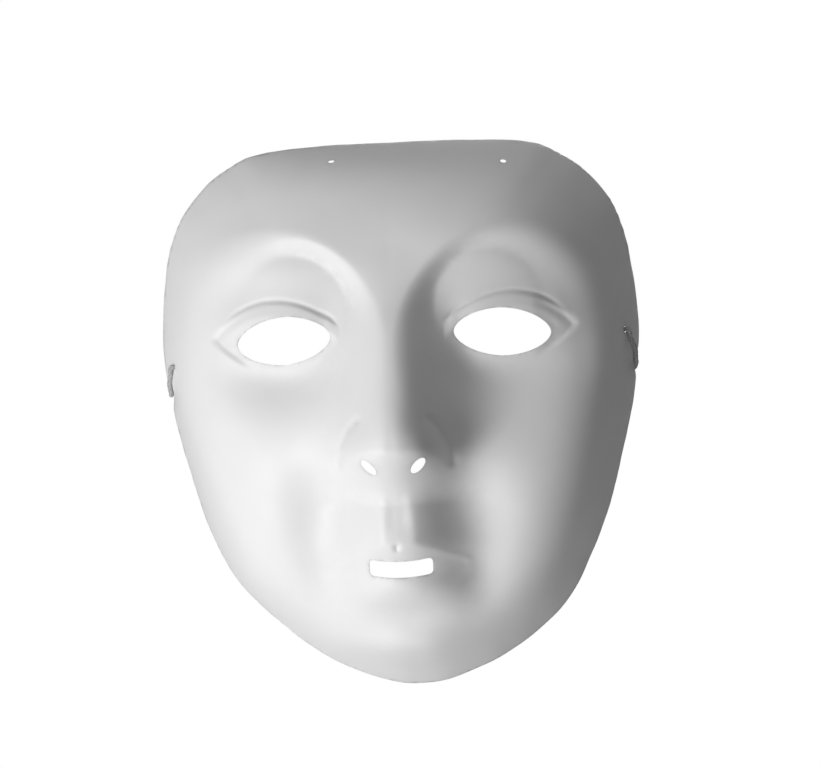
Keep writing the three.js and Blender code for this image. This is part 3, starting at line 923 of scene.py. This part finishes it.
def braided_cord(name, points, settings, step=0.00022):
    """Rolls a flat grid into a tube along these points, with its braided strands standing out."""
    line = open_curve(points, step)
    frames = carried_frames(line)
    bm = bmesh.new()
    crown = bm.verts.layers.float.new("braid")
    bmesh.ops.create_grid(
        bm, x_segments=settings.sides, y_segments=len(line) - 1, size=1.0)
    for v in bm.verts:
        turn = (v.co.x + 1) * math.pi
        row = round((v.co.y + 1) / 2 * (len(line) - 1))
        v[crown] = braid_height(turn, row * step, settings.diameter, settings.strands)
        radius = settings.diameter * (0.5 + (v[crown] - 0.5) * BRAID_RELIEF)
        across, up = frames[row]
        v.co = line[row] + (across * math.cos(turn) + up * math.sin(turn)) * radius
    bmesh.ops.remove_doubles(bm, verts=bm.verts[:], dist=1e-6)
    bmesh.ops.holes_fill(bm, edges=[e for e in bm.edges if e.is_boundary])
    bmesh.ops.recalc_face_normals(bm, faces=bm.faces[:])
    cord = new_object(name, bm)
    cord.data.materials.append(bpy.data.materials.get("braided_elastic") or cord_material(settings))
    return cord, line


def knot_centre(face, side):
    return np.array([face.flank_x(side, KNOT_Z, 0.0) - side * KNOT_INSET, KNOT_Y, KNOT_Z])


def unit(*v):
    return np.array(v, float) / np.linalg.norm(v)


def tie_route(face, knot, hole, cord_radius):
    """The cord's way from its knot, round the rim, in through the hole and back to the knot."""
    side, off = hole["side"], cord_radius + TIE_GAP
    hole_x = face.flank_x(side, hole["z"], 0.0) - side * hole["inset"]
    depth = float(face.relief(np.array(hole_x), np.array(hole["z"])))
    out = unit(side * 0.95, 0.2, 0.1 * np.sign(hole["crossing"] - KNOT_Z))
    back = unit(-side * 0.1, -0.8, 0.6)

    def beside(share, deep, extra):
        z = hole["crossing"] + (hole["z"] - hole["crossing"]) * share
        return face.point(face.flank_x(side, z, deep), z, extra)

    inside = -WALL - off - CLEARANCE
    return [
        knot, knot + out * KNOT_REACH, knot + out * (KNOT_REACH + TIE_LEAD),
        np.array([face.flank_x(side, hole["crossing"], 0.0) + side * off, 0.4,
                  hole["crossing"]]),
        beside(0.08, 1.0, off),
        beside(0.4, depth * 0.42, off),
        beside(0.74, depth * 0.8, off),
        face.point(hole_x, hole["z"], off + 0.2),
        face.point(hole_x, hole["z"], -WALL / 2),
        face.point(hole_x, hole["z"], -WALL - off - TIE_TURN),
        beside(0.62, depth * 0.62, inside) + np.array([-side * CLEARANCE, 0, 0]),
        knot + back * (KNOT_REACH + TIE_LEAD), knot + back * KNOT_REACH, knot,
    ]


def overhand_route(side):
    """A tight overhand knot about the origin, with its cut tail standing out."""
    t = np.linspace(0.35, 2 * math.pi + 0.1, 40)
    ring = KNOT_RING + KNOT_WEAVE * np.cos(3 * t)
    route = np.stack([ring * np.cos(2 * t), KNOT_WEAVE * np.sin(3 * t), ring * np.sin(2 * t)], -1)
    tail = unit(-side * 0.75, 0.35, 0.55)
    return np.vstack([route[:-1], tail * TAIL_START, tail * KNOT_TAIL])


class MASK_OT_lay_strap(Operator):
    """Hang the free elastic between the two knots"""

    bl_idname = "mask.lay_strap"
    bl_label = "Lay Strap"

    def execute(self, context):
        face = Face(*shell_size(context))
        half = []
        for side in (-1, 1):
            knot = knot_centre(face, side)
            leaving = unit(-side * 0.3, 0.0, -0.95)
            top = knot + leaving * (KNOT_DIAMETER / 2 + CLEARANCE)
            route = [(side * x, KNOT_Y * MM, top[2] * MM + z) for x, z in STRAP_ROUTE[1:]]
            half.append([(knot + leaving * STRAP_BURIED) * MM, top * MM] + route)
        left, right = half
        points = right + left[-2::-1]
        strap, line = braided_cord("elastic_cord", points, context.scene.mask_cord)
        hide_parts("elastic_strap")
        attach(strap, "strap")
        return {"FINISHED"}


class MASK_OT_tie_sides(Operator):
    """Tie the elastic through the hole in each side of the mask, with an overhand knot"""

    bl_idname = "mask.tie_sides"
    bl_label = "Tie Sides"

    def execute(self, context):
        face, worn = Face(*shell_size(context)), worn_face(context)
        settings = context.scene.mask_cord
        for hole in SIDE_HOLES:
            knot = knot_centre(face, hole["side"])
            route = tie_route(worn, knot, hole, settings.diameter / MM / 2)
            tie, _ = braided_cord("tie_cord_" + hole["name"], np.array(route) * MM, settings)
            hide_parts("tie_loop_" + hole["name"])
            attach(tie, "shell")
            route = knot + overhand_route(hole["side"])
            tied, _ = braided_cord("overhand_knot_" + hole["name"], route * MM, settings)
            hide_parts("knot_" + hole["name"])
            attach(tied, "shell")
        return {"FINISHED"}


# ---- Stage ----

MASK_MIDDLE = Vector((0, -0.03, 0))  # metres, what the lights point at
FLOOR_HALF = 3.0  # metres

# Each light: direction round the mask and above it in degrees, distance and size in metres,
# and power in watts.
LIGHTS = {
    "key": (-40.0, -12.0, 1.1, 0.3, 9.5),
    "left top": (-90.0, 70.0, 1.1, 0.35, 1.5),
    "right top": (90.0, 70.0, 1.1, 0.35, 1.5),
    "behind": (165.0, 20.0, 1.3, 0.8, 7.0),
}


def add_light(name, azimuth, elevation, distance, size, power):
    data = bpy.data.lights.new(name, "AREA")
    data.shape = "DISK"
    data.size = size
    data.energy = power
    light = bpy.data.objects.new(name, data)
    az, el = math.radians(azimuth), math.radians(elevation)
    toward = Vector((math.sin(az) * math.cos(el), -math.cos(az) * math.cos(el), math.sin(el)))
    light.location = toward * distance + MASK_MIDDLE
    light.rotation_euler = toward.to_track_quat("Z", "Y").to_euler()
    bpy.context.scene.collection.objects.link(light)


def floor_material():
    """Pale floor that the camera sees as the same white as the backdrop."""
    s = Surface("pale_floor")
    grain = s.group(grain_group(), vector=s.place, grain_scale=300.0, mottle_scale=6.0)
    s.feed(s.mix(grain["Mottle"], (0.80, 0.80, 0.80), (0.84, 0.84, 0.84)),
           s.shader.inputs["Base Color"])
    s.shader.inputs["Roughness"].default_value = 0.9
    tree = s.tree
    glow = tree.nodes.new("ShaderNodeEmission")
    rays = tree.nodes.new("ShaderNodeLightPath").outputs["Is Camera Ray"]
    mix = tree.nodes.new("ShaderNodeMixShader")
    output = next(n for n in tree.nodes if n.type == "OUTPUT_MATERIAL")
    tree.links.new(rays, mix.inputs["Fac"])
    tree.links.new(s.shader.outputs["BSDF"], mix.inputs[1])
    tree.links.new(glow.outputs["Emission"], mix.inputs[2])
    tree.links.new(mix.outputs["Shader"], output.inputs["Surface"])
    return s.material


def white_world(strength):
    """White behind the mask, and an even dim light all round it."""
    world = bpy.data.worlds.new("studio")
    world.use_nodes = True
    tree = world.node_tree
    background = next(n for n in tree.nodes if n.type == "BACKGROUND")
    rays = tree.nodes.new("ShaderNodeLightPath").outputs["Is Camera Ray"]
    background.inputs["Color"].default_value = (1, 1, 1, 1)
    level = math_node(tree, "MULTIPLY_ADD", rays, 1.0 - strength, strength)
    tree.links.new(level, background.inputs["Strength"])
    bpy.context.scene.world = world


class MASK_OT_set_stage(Operator):
    """Set the camera, the floor and the studio lights"""

    bl_idname = "mask.set_stage"
    bl_label = "Set Stage"

    def execute(self, context):
        stage = context.scene.mask_stage
        data = bpy.data.cameras.new("camera")
        data.lens = stage.lens
        data.sensor_width = 36.0
        data.clip_start = 0.01
        camera = bpy.data.objects.new("camera", data)
        across = Vector((math.cos(stage.azimuth), math.sin(stage.azimuth), 0))
        back = Vector((math.sin(stage.azimuth), -math.cos(stage.azimuth), 0))
        up = Vector((0, 0, 1))
        c, s = math.cos(stage.roll), math.sin(stage.roll)
        right, top = across * c - up * s, across * s + up * c
        place = back * stage.distance + right * stage.shift_right + top * stage.shift_up
        turn = Matrix((right, top, back)).transposed().to_4x4()
        camera.matrix_world = Matrix.Translation(place) @ turn
        context.scene.collection.objects.link(camera)
        context.scene.camera = camera
        context.scene.view_settings.view_transform = "Standard"
        bm = bmesh.new()
        bmesh.ops.create_grid(bm, x_segments=1, y_segments=1, size=FLOOR_HALF,
                              matrix=Matrix.Translation((0, 0, SHELL_LOW.z - stage.floor_drop)))
        floor = new_object("floor", bm)
        floor.data.materials.append(floor_material())
        white_world(stage.ambient)
        for name, values in LIGHTS.items():
            add_light(name, *values)
        return {"FINISHED"}


class MASK_PT_tools(Panel):
    """The mask's buttons"""

    bl_label = "Costume Mask"
    bl_space_type = "VIEW_3D"
    bl_region_type = "UI"
    bl_category = "Mask"

    def draw(self, context):
        for group in (context.scene.mask_shape, context.scene.mask_finish,
                      context.scene.mask_cord, context.scene.mask_stage):
            box = self.layout.box()
            for name in group.bl_rna.properties.keys():
                if name not in ("rna_type", "name"):
                    box.prop(group, name)
        for operator in OPERATORS:
            self.layout.operator(operator.bl_idname)


OPERATORS = (MASK_OT_set_stage, MASK_OT_lay_strap, MASK_OT_tie_sides, MASK_OT_form_shell)
SETTINGS = {"mask_shape": MaskShape, "mask_finish": MaskFinish, "mask_cord": CordSettings,
            "mask_stage": StageSettings}


def register():
    for group in SETTINGS.values():
        bpy.utils.register_class(group)
    for name, group in SETTINGS.items():
        setattr(bpy.types.Scene, name, PointerProperty(type=group))
    for cls in (*OPERATORS, MASK_PT_tools):
        bpy.utils.register_class(cls)


def unregister():
    for cls in (MASK_PT_tools, *reversed(OPERATORS)):
        bpy.utils.unregister_class(cls)
    for name in SETTINGS:
        delattr(bpy.types.Scene, name)
    for group in reversed(SETTINGS.values()):
        bpy.utils.unregister_class(group)


def main():
    register()
    bpy.ops.mask.set_stage()
    bpy.ops.mask.lay_strap()
    bpy.ops.mask.tie_sides()
    bpy.ops.mask.form_shell()


if __name__ == "__main__":
    main()
